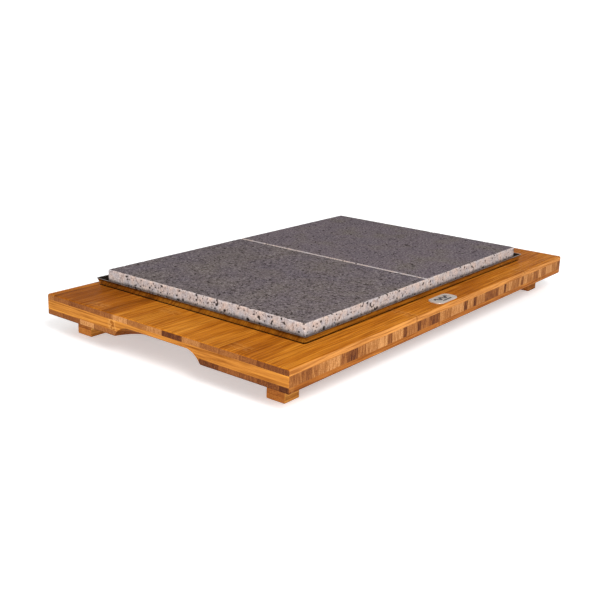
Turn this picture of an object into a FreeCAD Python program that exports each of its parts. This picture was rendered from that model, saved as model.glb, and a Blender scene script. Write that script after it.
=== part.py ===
import FreeCAD, Part
import os
import Sketcher
from FreeCAD import Placement, Rotation, Vector

# Hot stone serving set: two lava-stone slabs in a stainless-steel tray, which sits in a
# three-ply bamboo board on four bamboo feet.
#
# Frame: +X along the board's long side, -Y towards the side that carries the badge, +Z up.
# The origin is on the floor, under the middle of the board. All sizes are in millimetres.

SIZES = {
    # board: three bamboo layers, glued with their grain crossed
    "board_length": 530,
    "board_width": 305,
    "top_ply": 5.5,
    "core_ply": 10,
    "bottom_ply": 5.5,
    "board_corner": 1.2,
    "board_edge": 2,
    # feet and their screws
    "foot_side": 20,
    "foot_height": 20,
    "foot_inset": 20,
    "foot_edge": 0.8,
    "screw_sink": 7,
    "screw_head_radius": 3.8,
    "screw_head_height": 2.2,
    "screw_shank_radius": 1.9,
    "screw_shank_length": 18,
    "screw_point_length": 4,
    "screw_cross_width": 0.9,
    "screw_cross_span": 4.4,
    "screw_cross_depth": 1.2,
    "counterbore_radius": 4.5,
    # finger recess under each short end of the board
    "recess_width": 110,
    "recess_flat": 71,
    "recess_rise": 11.5,
    "recess_depth": 22,
    # tray: its outline is given where it passes the board's top face
    "tray_length": 416,
    "tray_width": 265.4,
    "tray_rise": 7,
    "tray_flare": 2.6,
    "tray_sheet": 1,
    "tray_corner": 3,
    "tray_fold": 2,
    "tray_setback": 9.6,
    "seat_gap": 0.8,
    "seat_corner": 3,
    # pressed ribs that carry the stones
    "rib_rise": 1.8,
    "rib_width": 8,
    "rib_length": 200,
    "rib_pitch": 66,
    "rib_count": 6,
    # stones
    "stone_pitch": 201.6,
    "stone_gap": 0.4,
    "stone_depth": 253.4,
    "stone_thickness": 20,
    "stone_chamfer": 1.7,
    "stone_shift_left": 4.2,
    "stone_shift_front": 4.3,
    # badge
    "badge_length": 37.5,
    "badge_width": 17,
    "badge_thickness": 1,
    "badge_corner": 6.3,
    "badge_edge": 0.4,
    "badge_from_edge": 11.6,
    "badge_shift_left": 4,
    "pin_radius": 0.8,
    "pin_length": 3,
    "pin_pitch": 24,
}

SIDES = {"left": -1, "right": 1}
ROWS = {"front": -1, "back": 1}
LEAST_CUT = 1       # a pocket has to remove at least this many cubic millimetres
SAME_HEIGHT = 1e-4  # two heights this close, in millimetres, count as one
RIM_ZONE = 5        # an edge this close to the board's outline belongs to its rim

doc = FreeCAD.newDocument("hot_stone_set")
sheet = doc.addObject("Spreadsheet::Sheet", "sizes")
for row, (alias, value) in enumerate(SIZES.items(), start=1):
    sheet.set(f"A{row}", alias)
    sheet.set(f"B{row}", str(value))
    sheet.setAlias(f"B{row}", alias)
doc.recompute()


def bind(thing, **expressions):
    """Bind properties of an object to the sheet; a double underscore stands for a dot."""
    for name, expression in expressions.items():
        thing.setExpression(name.replace("__", "."), expression)


def new_body(label):
    """Start a part as a PartDesign body whose Label is its node name."""
    body = doc.addObject("PartDesign::Body", label)
    body.Label = label
    return body


def origin_feature(body, role):
    """Find one of the body's own origin planes or axes by its role."""
    return next(item for item in body.Origin.OriginFeatures if item.Role == role)


def new_sketch(body, name, role="XY_Plane", **offsets):
    """Add a sketch on an origin plane, shifted by expressions for x, y and z in that plane."""
    sketch = body.newObject("Sketcher::SketchObject", f"{body.Name}_{name}")
    sketch.AttachmentSupport = [(origin_feature(body, role), "")]
    sketch.MapMode = "FlatFace"
    for axis, expression in offsets.items():
        sketch.setExpression(f"AttachmentOffset.Base.{axis}", expression)
    return sketch


def constrain(sketch, expression, kind, *arguments):
    """Add a dimension whose value comes from the sheet."""
    index = sketch.addConstraint(Sketcher.Constraint(kind, *arguments))
    sketch.setExpression(f"Constraints[{index}]", expression)


def draw_rectangle(sketch, length, width):
    """Draw a rectangle centred on the sketch's origin."""
    corners = [Vector(-9, -7, 0), Vector(9, -7, 0), Vector(9, 7, 0), Vector(-9, 7, 0)]
    for start, end in zip(corners, corners[1:] + corners[:1]):
        sketch.addGeometry(Part.LineSegment(start, end), False)
    for side in range(4):
        sketch.addConstraint(Sketcher.Constraint("Coincident", side, 2, (side + 1) % 4, 1))
        direction = "Vertical" if side % 2 else "Horizontal"
        sketch.addConstraint(Sketcher.Constraint(direction, side))
    sketch.addConstraint(Sketcher.Constraint("Symmetric", 0, 1, 1, 2, -1, 1))
    constrain(sketch, length, "DistanceX", 0, 1, 0, 2, 18)
    constrain(sketch, width, "DistanceY", 1, 1, 1, 2, 14)


def draw_circles(sketch, radius, pitch=None):
    """Draw one circle at the origin, or a pair a pitch apart along the sketch's x axis."""
    for index, sign in enumerate((-1, 1) if pitch else (0,)):
        sketch.addGeometry(Part.Circle(Vector(sign * 10, 0, 0), Vector(0, 0, 1), 2), False)
        constrain(sketch, radius, "Radius", index, 2)
        if pitch:
            sketch.addConstraint(Sketcher.Constraint("PointOnObject", index, 3, -1))
            constrain(sketch, f"{sign} * {pitch} / 2", "DistanceX", -1, 1, index, 3, sign * 10)
        else:
            sketch.addConstraint(Sketcher.Constraint("Coincident", index, 3, -1, 1))


def draw_arch(sketch):
    """Draw the finger recess: a flat crown with a tangent arc down to each end of its foot line."""
    crown = sketch.addGeometry(Part.LineSegment(Vector(-35, 11, 0), Vector(35, 11, 0)), False)
    right = sketch.addGeometry(
        Part.Arc(Vector(35, 11, 0), Vector(46, 8, 0), Vector(55, 0, 0)), False)
    left = sketch.addGeometry(
        Part.Arc(Vector(-55, 0, 0), Vector(-46, 8, 0), Vector(-35, 11, 0)), False)
    foot = sketch.addGeometry(Part.LineSegment(Vector(-55, 0, 0), Vector(55, 0, 0)), False)
    # an arc's points run anticlockwise: the right arc starts at the foot, the left one at the crown
    sketch.addConstraint(Sketcher.Constraint("Tangent", crown, 2, right, 2))
    sketch.addConstraint(Sketcher.Constraint("Tangent", crown, 1, left, 1))
    sketch.addConstraint(Sketcher.Constraint("Coincident", right, 1, foot, 2))
    sketch.addConstraint(Sketcher.Constraint("Coincident", left, 2, foot, 1))
    sketch.addConstraint(Sketcher.Constraint("Symmetric", foot, 1, foot, 2, -2))
    sketch.addConstraint(Sketcher.Constraint("Symmetric", crown, 1, crown, 2, -2))
    sketch.addConstraint(Sketcher.Constraint("PointOnObject", foot, 1, -1))
    constrain(sketch, "sizes.recess_flat", "DistanceX", crown, 1, crown, 2, 71)
    constrain(sketch, "sizes.recess_width", "DistanceX", foot, 1, foot, 2, 110)
    constrain(sketch, "sizes.recess_rise", "DistanceY", -1, 1, crown, 2, 11.5)


def pad(body, sketch, length, **settings):
    """Add material from a sketch, upwards along its normal."""
    feature = body.newObject("PartDesign::Pad", f"{sketch.Name}_pad")
    feature.Profile = sketch
    bind(feature, Length=length)
    for name, value in settings.items():
        setattr(feature, name, value)
    doc.recompute()
    return feature


def pocket(body, sketch, length, reverse=False, direction=None):
    """Remove material from a sketch and make sure that something was cut."""
    before = body.Shape.Volume
    feature = body.newObject("PartDesign::Pocket", f"{sketch.Name}_pocket")
    feature.Profile = sketch
    feature.Reversed = reverse
    bind(feature, Length=length)
    if direction:
        feature.UseCustomVector = True
        feature.AlongSketchNormal = False
        bind(feature, Direction__x=direction[0], Direction__y=direction[1],
             Direction__z=direction[2])
    doc.recompute()
    if body.Shape.Volume > before - LEAST_CUT:
        raise RuntimeError(f"{feature.Name} cut nothing")
    return feature


def edge_names(shape, wanted):
    """Names of the edges that pass a test."""
    return [f"Edge{i}" for i, edge in enumerate(shape.Edges, start=1) if wanted(edge)]


def dress(body, kind, wanted, size):
    """Fillet or chamfer the body's edges that pass a test."""
    feature = body.newObject(f"PartDesign::{kind}", f"{body.Name}_{kind}")
    base = body.Tip if body.Tip is not feature else feature.BaseFeature
    feature.Base = (base, edge_names(base.Shape, wanted))
    bind(feature, **{"Radius" if kind == "Fillet" else "Size": size})
    doc.recompute()
    return feature


def is_upright(edge):
    """True for an edge that climbs more than it runs sideways."""
    box = edge.BoundBox
    return box.ZLength > max(box.XLength, box.YLength)


def lies_at(edge, height):
    """True for an edge that lies flat at one height."""
    box = edge.BoundBox
    return max(abs(box.ZMin - height), abs(box.ZMax - height)) < SAME_HEIGHT


def is_outer(edge):
    """True for an edge on the rim of the board, not on a window or a hole inside it."""
    box = edge.BoundBox
    on_end = min(abs(box.XMin), abs(box.XMax)) > SIZES["board_length"] / 2 - RIM_ZONE
    on_side = min(abs(box.YMin), abs(box.YMax)) > SIZES["board_width"] / 2 - RIM_ZONE
    return on_end or on_side


# --- Board ------------------------------------------------------------------------------

def board_layer(label, thickness, height):
    """Build one bamboo layer as a plate with eased upright corners."""
    body = new_body(label)
    bind(body, Placement__Base__z=height)
    outline = new_sketch(body, "outline")
    draw_rectangle(outline, "sizes.board_length", "sizes.board_width")
    pad(body, outline, thickness)
    dress(body, "Fillet", is_upright, "sizes.board_corner")
    return body


def drill_foot_holes(body, radius, depth):
    """Drill the four pilot holes above the feet, upwards from the layer's underside."""
    for row, along_y in ROWS.items():
        hole = new_sketch(
            body, f"holes_{row}",
            y=f"{along_y} * (sizes.board_width / 2 - sizes.foot_inset - sizes.foot_side / 2)")
        draw_circles(hole, radius, "(sizes.board_length - 2 * sizes.foot_inset - sizes.foot_side)")
        pocket(body, hole, depth, reverse=True)


def cut_finger_recesses(body, drop):
    """Cut the sloping finger recess into both short ends; drop is the layer's height in it."""
    profile = new_sketch(body, "recess", "YZ_Plane", z="-sizes.board_length / 2", y=f"-{drop}")
    draw_arch(profile)
    reach = "sqrt(sizes.recess_depth ^ 2 + sizes.recess_rise ^ 2)"
    slope = ("sizes.recess_depth", "0", "-sizes.recess_rise")
    left = pocket(body, profile, reach, direction=slope)
    both = body.newObject("PartDesign::Mirrored", f"{body.Name}_both_ends")
    both.Originals = [left]
    both.MirrorPlane = (origin_feature(body, "YZ_Plane"), [""])
    body.Tip = both
    doc.recompute()


top = board_layer("board_top_ply", "sizes.top_ply",
                  "sizes.foot_height + sizes.bottom_ply + sizes.core_ply")
dress(top, "Fillet", lambda edge: lies_at(edge, SIZES["top_ply"]), "sizes.board_edge")
window = new_sketch(top, "window", y="sizes.tray_setback")
draw_rectangle(window, "sizes.tray_length + 2 * sizes.seat_gap",
               "sizes.tray_width + 2 * sizes.seat_gap")
pocket(top, window, "sizes.top_ply", reverse=True)
dress(top, "Fillet", lambda edge: is_upright(edge) and not is_outer(edge), "sizes.seat_corner")
pin_holes = new_sketch(
    top, "pin_holes", x="-sizes.badge_shift_left", z="sizes.top_ply",
    y="-sizes.board_width / 2 + sizes.badge_from_edge")
draw_circles(pin_holes, "sizes.pin_radius", "sizes.pin_pitch")
pocket(top, pin_holes, "sizes.pin_length")

core = board_layer("board_core_ply", "sizes.core_ply", "sizes.foot_height + sizes.bottom_ply")
drill_foot_holes(
    core, "sizes.screw_shank_radius",
    "sizes.screw_sink + sizes.screw_head_height + sizes.screw_shank_length"
    " + sizes.screw_point_length - sizes.foot_height - sizes.bottom_ply")
cut_finger_recesses(core, "sizes.bottom_ply")

bottom = board_layer("board_bottom_ply", "sizes.bottom_ply", "sizes.foot_height")
dress(bottom, "Fillet", lambda edge: lies_at(edge, 0), "sizes.board_edge / 2")
drill_foot_holes(bottom, "sizes.screw_shank_radius", "sizes.bottom_ply")
cut_finger_recesses(bottom, "0")


# --- Feet and their screws ----------------------------------------------------------------

def foot_centre(along_x, along_y):
    """Expressions for the middle of a foot."""
    edge = "sizes.foot_inset - sizes.foot_side / 2"
    return (f"{along_x} * (sizes.board_length / 2 - {edge})",
            f"{along_y} * (sizes.board_width / 2 - {edge})")


def add_subtractive(body, kind, name, **expressions):
    """Cut a primitive out of the body."""
    feature = body.newObject(f"PartDesign::Subtractive{kind}", f"{body.Name}_{name}")
    bind(feature, **expressions)
    doc.recompute()
    return feature


def make_foot(label, along_x, along_y):
    """A bamboo cube, bored from below for a countersunk screw."""
    body = new_body(label)
    place_x, place_y = foot_centre(along_x, along_y)
    bind(body, Placement__Base__x=place_x, Placement__Base__y=place_y)
    square = new_sketch(body, "square")
    draw_rectangle(square, "sizes.foot_side", "sizes.foot_side")
    pad(body, square, "sizes.foot_height")
    dress(body, "Fillet", lambda edge: is_upright(edge) or lies_at(edge, 0), "sizes.foot_edge")
    add_subtractive(body, "Cylinder", "counterbore", Radius="sizes.counterbore_radius",
                    Height="sizes.screw_sink")
    add_subtractive(body, "Cone", "countersink", Radius1="sizes.screw_head_radius",
                    Radius2="sizes.screw_shank_radius", Height="sizes.screw_head_height",
                    Placement__Base__z="sizes.screw_sink")
    add_subtractive(body, "Cylinder", "shank_hole", Radius="sizes.screw_shank_radius",
                    Height="sizes.foot_height")
    return body


def primitive(kind, name, **expressions):
    """Add a Part primitive bound to the sheet."""
    thing = doc.addObject(f"Part::{kind}", name)
    bind(thing, **expressions)
    return thing


def make_screw(name, along_x, along_y):
    """A countersunk wood screw: conical head with a cross slot, shank and point."""
    x, y = foot_centre(along_x, along_y)
    at_axis = {"Placement__Base__x": x, "Placement__Base__y": y}
    head_top = "sizes.screw_sink + sizes.screw_head_height"
    head = primitive("Cone", f"{name}_head", Radius1="sizes.screw_head_radius",
                     Radius2="sizes.screw_shank_radius", Height="sizes.screw_head_height",
                     Placement__Base__z="sizes.screw_sink", **at_axis)
    shank = primitive("Cylinder", f"{name}_shank", Radius="sizes.screw_shank_radius",
                      Height="sizes.screw_shank_length", Placement__Base__z=head_top, **at_axis)
    point = primitive("Cone", f"{name}_point", Radius1="sizes.screw_shank_radius",
                      Radius2="sizes.screw_shank_radius / 10",
                      Height="sizes.screw_point_length",
                      Placement__Base__z=f"{head_top} + sizes.screw_shank_length", **at_axis)
    slots = []
    for slot_name, across, along in (("slot_a", "cross_width", "cross_span"),
                                     ("slot_b", "cross_span", "cross_width")):
        slots.append(primitive(
            "Box", f"{name}_{slot_name}", Length=f"sizes.screw_{across}",
            Width=f"sizes.screw_{along}", Height="sizes.screw_cross_depth",
            Placement__Base__x=f"{x} - sizes.screw_{across} / 2",
            Placement__Base__y=f"{y} - sizes.screw_{along} / 2",
            Placement__Base__z="sizes.screw_sink"))
    whole = doc.addObject("Part::MultiFuse", f"{name}_whole")
    whole.Shapes = [head, shank, point]
    cross = doc.addObject("Part::MultiFuse", f"{name}_cross")
    cross.Shapes = slots
    screw = doc.addObject("Part::Cut", name)
    screw.Base = whole
    screw.Tool = cross
    return screw


feet = []
screws = []
for row, along_y in ROWS.items():
    for side, along_x in SIDES.items():
        feet.append(make_foot(f"foot_{row}_{side}", along_x, along_y))
        screws.append(make_screw(f"screw_{row}_{side}", along_x, along_y))
foot_screws = doc.addObject("Part::Compound", "foot_screws")
foot_screws.Label = "foot_screws"
foot_screws.Links = screws


# --- Tray -----------------------------------------------------------------------------------

SEAT_HEIGHT = "sizes.foot_height + sizes.bottom_ply + sizes.core_ply"
TRAY_HEIGHT = "sizes.top_ply + sizes.tray_rise"
FLARE = "sizes.tray_flare / sizes.tray_rise"

tray = new_body("tray")
bind(tray, Placement__Base__z=SEAT_HEIGHT, Placement__Base__y="sizes.tray_setback")


def flared_block(name, depth, inset, make, height, **settings):
    """Pad or pocket upwards from a height, with the tray's flare on all four walls."""
    shrink = f"2 * (sizes.top_ply - {depth}) * {FLARE} + 2 * {inset}"
    outline = new_sketch(tray, name, z=depth)
    draw_rectangle(outline, f"sizes.tray_length - ({shrink})", f"sizes.tray_width - ({shrink})")
    feature = make(tray, outline, height, **settings)
    bind(feature, TaperAngle=f"atan({FLARE})")
    doc.recompute()
    return feature


flared_block("outside", "0", "0", pad, TRAY_HEIGHT)
flared_block("inside", "sizes.tray_sheet", f"sizes.tray_sheet / cos(atan({FLARE}))", pocket,
             f"{TRAY_HEIGHT} - sizes.tray_sheet", reverse=True)


def climbs_from(edge, height):
    """True for an upright edge whose lower end is at one height."""
    return is_upright(edge) and abs(edge.BoundBox.ZMin - height) < SAME_HEIGHT


dress(tray, "Fillet", lambda edge: climbs_from(edge, 0), "sizes.tray_corner")
dress(tray, "Fillet", lambda edge: climbs_from(edge, SIZES["tray_sheet"]),
      "sizes.tray_corner - sizes.tray_sheet")
dress(tray, "Fillet", lambda edge: lies_at(edge, 0), "sizes.tray_fold")
dress(tray, "Fillet", lambda edge: lies_at(edge, SIZES["tray_sheet"]),
      "sizes.tray_fold - sizes.tray_sheet")


def first_rib(name, height, trim):
    """Sketch the leftmost rib at a height, narrower all round by trim."""
    sketch = new_sketch(tray, name, z=height,
                        x="-sizes.rib_pitch * (sizes.rib_count - 1) / 2")
    draw_rectangle(sketch, f"sizes.rib_width - 2 * {trim}", f"sizes.rib_length - 2 * {trim}")
    return sketch


def repeat_ribs(feature):
    """Repeat a rib along the tray."""
    pattern = tray.newObject("PartDesign::LinearPattern", f"{feature.Name}_row")
    pattern.Originals = [feature]
    pattern.Direction = (origin_feature(tray, "X_Axis"), [""])
    bind(pattern, Length="sizes.rib_pitch * (sizes.rib_count - 1)",
         Occurrences="sizes.rib_count")
    tray.Tip = pattern
    doc.recompute()


repeat_ribs(pad(tray, first_rib("rib", "sizes.tray_sheet", "0"), "sizes.rib_rise"))
repeat_ribs(pocket(tray, first_rib("groove", "0", "sizes.tray_sheet"), "sizes.rib_rise",
                   reverse=True))


# --- Stones ---------------------------------------------------------------------------------

stones = []
for side, along_x in SIDES.items():
    stone = new_body(f"stone_{side}")
    bind(stone,
         Placement__Base__x=f"{along_x} * sizes.stone_pitch / 2 - sizes.stone_shift_left",
         Placement__Base__y="sizes.tray_setback - sizes.stone_shift_front",
         Placement__Base__z=f"{SEAT_HEIGHT} + sizes.tray_sheet + sizes.rib_rise")
    slab = new_sketch(stone, "slab")
    draw_rectangle(slab, "sizes.stone_pitch - sizes.stone_gap", "sizes.stone_depth")
    pad(stone, slab, "sizes.stone_thickness")
    dress(stone, "Chamfer", lambda edge: True, "sizes.stone_chamfer")
    stones.append(stone)


# --- Badge ----------------------------------------------------------------------------------

badge = new_body("badge")
bind(badge, Placement__Base__x="-sizes.badge_shift_left",
     Placement__Base__y="-sizes.board_width / 2 + sizes.badge_from_edge",
     Placement__Base__z=f"{SEAT_HEIGHT} + sizes.top_ply")
plate = new_sketch(badge, "plate")
draw_rectangle(plate, "sizes.badge_length", "sizes.badge_width")
pad(badge, plate, "sizes.badge_thickness")
dress(badge, "Fillet", is_upright, "sizes.badge_corner")
dress(badge, "Fillet", lambda edge: lies_at(edge, SIZES["badge_thickness"]), "sizes.badge_edge")
pins = new_sketch(badge, "pins")
draw_circles(pins, "sizes.pin_radius", "sizes.pin_pitch")
pad(badge, pins, "sizes.pin_length", Reversed=True)


# --- Check and write ------------------------------------------------------------------------

doc.recompute()
parts = [top, core, bottom, *feet, foot_screws, tray, *stones, badge]
for item in doc.Objects:
    if "Invalid" in item.State or "Error" in item.State:
        raise RuntimeError(f"{item.Name} failed: {item.State}")
os.makedirs("parts", exist_ok=True)
for item in parts:
    shape = item.Shape
    if shape.isNull() or not shape.isValid():
        raise RuntimeError(f"{item.Label} has no valid shape")
    shape.exportStep(f"parts/{item.Label}.step")
    box = shape.optimalBoundingBox(False)
    print(f"{item.Label:18s} solids {len(shape.Solids)}  volume {shape.Volume:12.1f}"
          f"  x {box.XMin:8.2f} {box.XMax:8.2f}  y {box.YMin:8.2f} {box.YMax:8.2f}"
          f"  z {box.ZMin:7.2f} {box.ZMax:7.2f}")
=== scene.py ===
import logging
import math
from dataclasses import dataclass, field
from enum import Enum
from typing import Callable, Sequence

import bpy
import numpy as np
from mathutils import Matrix, Vector, noise


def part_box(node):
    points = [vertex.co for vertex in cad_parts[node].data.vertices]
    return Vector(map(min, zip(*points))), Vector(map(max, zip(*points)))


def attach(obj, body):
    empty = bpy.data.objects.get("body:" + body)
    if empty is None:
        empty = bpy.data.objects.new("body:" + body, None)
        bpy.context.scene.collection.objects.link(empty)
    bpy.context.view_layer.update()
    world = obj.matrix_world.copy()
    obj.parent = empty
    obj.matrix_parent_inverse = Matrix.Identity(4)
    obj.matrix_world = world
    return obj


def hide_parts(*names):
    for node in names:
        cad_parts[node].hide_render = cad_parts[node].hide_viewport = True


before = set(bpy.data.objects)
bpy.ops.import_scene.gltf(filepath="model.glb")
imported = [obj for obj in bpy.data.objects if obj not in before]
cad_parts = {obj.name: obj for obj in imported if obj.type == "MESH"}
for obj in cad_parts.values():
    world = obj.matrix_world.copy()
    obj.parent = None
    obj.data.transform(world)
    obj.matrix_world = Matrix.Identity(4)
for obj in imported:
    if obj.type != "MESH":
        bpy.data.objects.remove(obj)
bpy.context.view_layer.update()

MM = 0.001
# Stops that are put into one colour ramp, which holds no more than 32.
RAMP_STOPS = 30

log = logging.getLogger("hot_stone_set")

Colour = tuple[float, float, float]
Socket = bpy.types.NodeSocket
Feed = float | Sequence[float] | Socket

# Lumps per millimetre, number of finer layers and their weight.
Cloud = tuple[float, float, float]
# Lumps per millimetre along and across the grain, number of finer layers and their weight.
Fibre = tuple[float, float, float, float]
# Distance between cells in millimetres, share that has a pore, and largest radius in cells.
PoreField = tuple[float, float, float]


class Axis(Enum):
    """A direction in the set's frame."""

    X = 0
    Y = 1
    Z = 2


class Blend(Enum):
    """How one colour is laid over another."""

    PLAIN = "MIX"
    DARKEN = "MULTIPLY"


class Side(Enum):
    """A side of a piece along the set's length."""

    LEFT = -1
    RIGHT = 1


# --- Shader graph ---------------------------------------------------------------------------


class ShaderGraph:
    """A material under construction, with short calls for the nodes the finishes need."""

    def __init__(self, name: str) -> None:
        """Start an empty material.

        Args:
            name: name of the material.
        """
        self.material = bpy.data.materials.new(name)
        self.material.use_nodes = True
        self.tree = self.material.node_tree
        self.tree.nodes.clear()

    def feed(self, socket: Socket, value: Feed) -> None:
        """Join a socket to the value, or set it.

        Args:
            socket: the input that takes the value.
            value: another node's output, a number or a tuple of numbers.
        """
        if isinstance(value, bpy.types.NodeSocket):
            self.tree.links.new(value, socket)
        elif hasattr(socket.default_value, "__len__") and not hasattr(value, "__len__"):
            socket.default_value = [value] * len(socket.default_value)
        elif hasattr(value, "__len__") and len(socket.default_value) == len(value) + 1:
            socket.default_value = (*value, 1.0)
        else:
            socket.default_value = value

    def node(self, kind: str, feeds: dict[str | int, Feed] | None = None,
             **settings: object) -> bpy.types.Node:
        """Add a node.

        Args:
            kind: the node's class, without its ShaderNode prefix.
            feeds: values for its inputs, by name or number.
            **settings: the node's own properties.

        Returns:
            The new node.
        """
        made = self.tree.nodes.new("ShaderNode" + kind)
        for name, value in settings.items():
            setattr(made, name, value)
        for name, value in (feeds or {}).items():
            self.feed(made.inputs[name], value)
        return made

    def math(self, operation: str, *values: Feed) -> Socket:
        """Work out a number.

        Args:
            operation: a Math node's operation.
            *values: its one to three inputs.

        Returns:
            The result.
        """
        return self.node("Math", dict(enumerate(values)), operation=operation).outputs[0]

    def place(self) -> Socket:
        """Position on the piece in millimetres, in the set's frame."""
        where = self.node("TexCoord").outputs["Object"]
        scaled = self.node("VectorMath", {0: where}, operation="SCALE")
        self.feed(scaled.inputs["Scale"], 1 / MM)
        return scaled.outputs[0]

    def parts(self, vector: Socket) -> tuple[Socket, ...]:
        """The three numbers of a position or a direction."""
        return tuple(self.node("SeparateXYZ", {0: vector}).outputs)

    def normal(self) -> Socket:
        """The way out of the surface."""
        return self.node("NewGeometry").outputs["Normal"]

    def stretch(self, vector: Socket, factors: Sequence[float],
                shift: Feed = (0.0, 0.0, 0.0)) -> Socket:
        """Scale a position along each axis and then shift it.

        Args:
            vector: the position.
            factors: a factor for each axis.
            shift: what is added afterwards.

        Returns:
            The new position.
        """
        node = self.node("VectorMath", {0: vector, 1: factors}, operation="MULTIPLY")
        return self.node("VectorMath", {0: node.outputs[0], 1: shift},
                         operation="ADD").outputs[0]

    def noise(self, vector: Socket, scale: float = 1.0, detail: float = 2.0,
              roughness: float = 0.5, distortion: float = 0.0) -> Socket:
        """Cloudy noise between 0 and 1, with most of it near 0.5.

        Args:
            vector: the position, in millimetres.
            scale: lumps per millimetre.
            detail: number of finer layers.
            roughness: weight of the finer layers.
            distortion: how far the lumps are pulled about.

        Returns:
            The noise.
        """
        feeds = {"Vector": vector, "Scale": scale, "Detail": detail,
                 "Roughness": roughness, "Distortion": distortion}
        return self.node("TexNoise", feeds).outputs[0]

    def cells(self, vector: Socket, scale: float) -> bpy.types.Node:
        """Scattered cells; the node's Distance and Color outputs give each cell's own values."""
        return self.node("TexVoronoi", {"Vector": vector, "Scale": scale})

    def remap(self, value: Feed, low: float, high: float, to_low: float = 0.0,
              to_high: float = 1.0) -> Socket:
        """Carry a range smoothly onto another one, and hold its ends.

        Args:
            value: what is carried.
            low: value that gives to_low.
            high: value that gives to_high.
            to_low: result at low.
            to_high: result at high.

        Returns:
            The new value.
        """
        feeds = {"Value": value, "From Min": low, "From Max": high,
                 "To Min": to_low, "To Max": to_high}
        return self.node("MapRange", feeds, interpolation_type="SMOOTHSTEP").outputs[0]

    def ramp(self, value: Feed, stops: Sequence[tuple[float, Colour]],
             interpolation: str = "LINEAR") -> Socket:
        """Turn a number into a colour.

        Args:
            value: a number from 0 to 1.
            stops: places on that scale with their colours.
            interpolation: how one colour passes into the next.

        Returns:
            The colour.
        """
        node = self.node("ValToRGB", {0: value})
        band = node.color_ramp
        band.interpolation = interpolation
        while len(band.elements) < len(stops):
            band.elements.new(1.0)
        for element, (place, colour) in zip(band.elements, stops):
            element.position = place
            element.color = (*colour, 1.0)
        return node.outputs[0]

    def steps(self, place: Socket, stops: Sequence[tuple[float, float]]) -> Socket:
        """A number that jumps from one value to the next along an axis.

        Args:
            place: position along the axis, in millimetres.
            stops: where each value starts, and the value.

        Returns:
            The value at that position.
        """
        result: Socket | None = None
        for first in range(0, len(stops), RAMP_STOPS):
            group = stops[first:first + RAMP_STOPS]
            low, high = group[0][0], group[-1][0] + 1.0
            along = self.math("DIVIDE", self.math("SUBTRACT", place, low), high - low)
            bands = [((start - low) / (high - low), (value,) * 3) for start, value in group]
            tone = self.ramp(along, bands, "CONSTANT")
            if result is None:
                result = tone
            else:
                result = self.lay(self.math("GREATER_THAN", place, low), result, tone)
        return result

    def lay(self, amount: Feed, under: Feed, over: Feed, how: Blend = Blend.PLAIN) -> Socket:
        """Lay one colour over another.

        Args:
            amount: how much of it shows, from 0 to 1.
            under: the colour below.
            over: the colour above.
            how: the kind of mixing.

        Returns:
            The mixed colour.
        """
        node = self.node("Mix", data_type="RGBA", blend_type=how.value)
        for index, value in zip((0, 6, 7), (amount, under, over)):
            self.feed(node.inputs[index], value)
        return node.outputs[2]

    def attribute(self, name: str) -> Socket:
        """A number that the mesh stores at each of its points."""
        return self.node("Attribute", attribute_name=name).outputs["Fac"]

    def bump(self, height: Socket, distance: float) -> Socket:
        """Relief too fine for the mesh.

        Args:
            height: relief between 0 and 1.
            distance: how far 1 stands above 0, in millimetres.

        Returns:
            The normal that results.
        """
        return self.node("Bump", {"Height": height, "Distance": distance * MM}).outputs[0]

    def close(self, feeds: dict[str | int, Feed]) -> bpy.types.Material:
        """Finish the material with one principled shader.

        Args:
            feeds: values for the shader's inputs.

        Returns:
            The finished material.
        """
        shader = self.node("BsdfPrincipled", feeds)
        output = self.node("OutputMaterial")
        self.tree.links.new(shader.outputs[0], output.inputs["Surface"])
        return self.material


# --- Finishes -------------------------------------------------------------------------------


@dataclass(frozen=True)
class Strip:
    """One bamboo strip of a layer: where it starts and how dark it is."""

    start: float
    face: float
    end: float


def random_layup(low: float, high: float, widths: tuple[float, float], seed: int,
                 dark_share: float) -> tuple[Strip, ...]:
    """Strips of random width and tone.

    Args:
        low: where the first strip starts.
        high: where the last strip ends.
        widths: narrowest and widest strip.
        seed: start of the chance.
        dark_share: share of the strips that are very dark.

    Returns:
        The strips in order.
    """
    random = np.random.default_rng(seed)
    strips, start = [], low
    while start < high:
        face, end = random.uniform(0.1, 0.7, 2)
        if random.random() < dark_share:
            end = 0.9
        strips.append(Strip(start, face, end))
        start += random.uniform(*widths)
    return tuple(strips)


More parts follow.
